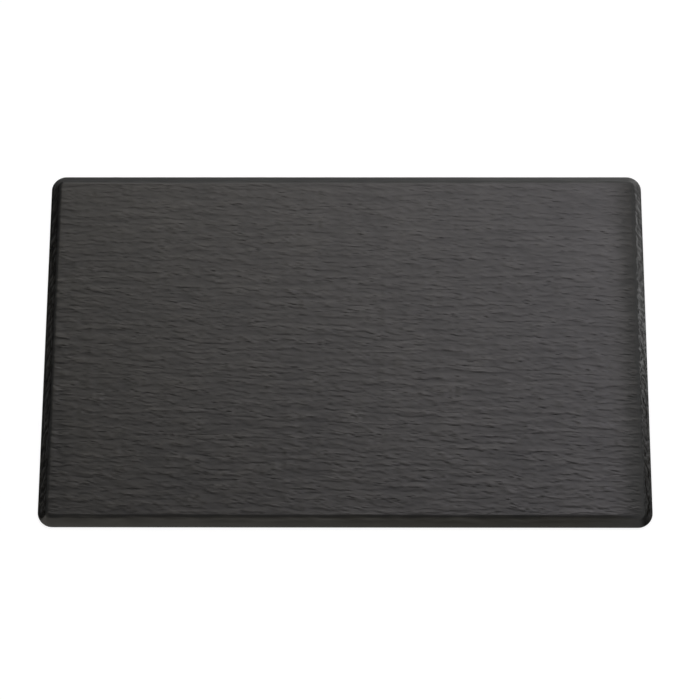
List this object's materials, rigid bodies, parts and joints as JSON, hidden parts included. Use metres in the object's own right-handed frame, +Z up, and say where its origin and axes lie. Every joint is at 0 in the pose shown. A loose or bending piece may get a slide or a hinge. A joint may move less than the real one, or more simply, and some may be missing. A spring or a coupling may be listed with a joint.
{
  "type": "serving tray",
  "caption": "Flat rectangular melamine buffet tray with a slate-look serving face, bevelled edge, hollow underside and bonded silicone anti-slip feet.",
  "frame": {"origin": "on the table, under the middle of the tray", "axes": "+X along the long side, +Y along the short side towards the back, +Z up through the serving face"},
  "size_m": [0.53, 0.325, 0.01],
  "materials": {
    "melamine": "satin-matt, riven slate relief on the serving face and bevels, smooth underneath",
    "silicone": "matt moulded silicone",
    "adhesive": "translucent double-sided adhesive, mostly hidden"
  },
  "bodies": {
    "root": {"tray_body": "melamine", "foot_front_left": "silicone", "foot_front_middle": "silicone", "foot_front_right": "silicone", "foot_back_left": "silicone", "foot_back_middle": "silicone", "foot_back_right": "silicone", "foot_adhesive_front_left": "adhesive", "foot_adhesive_front_middle": "adhesive", "foot_adhesive_front_right": "adhesive", "foot_adhesive_back_left": "adhesive", "foot_adhesive_back_middle": "adhesive", "foot_adhesive_back_right": "adhesive"}
  },
  "joints": []
}
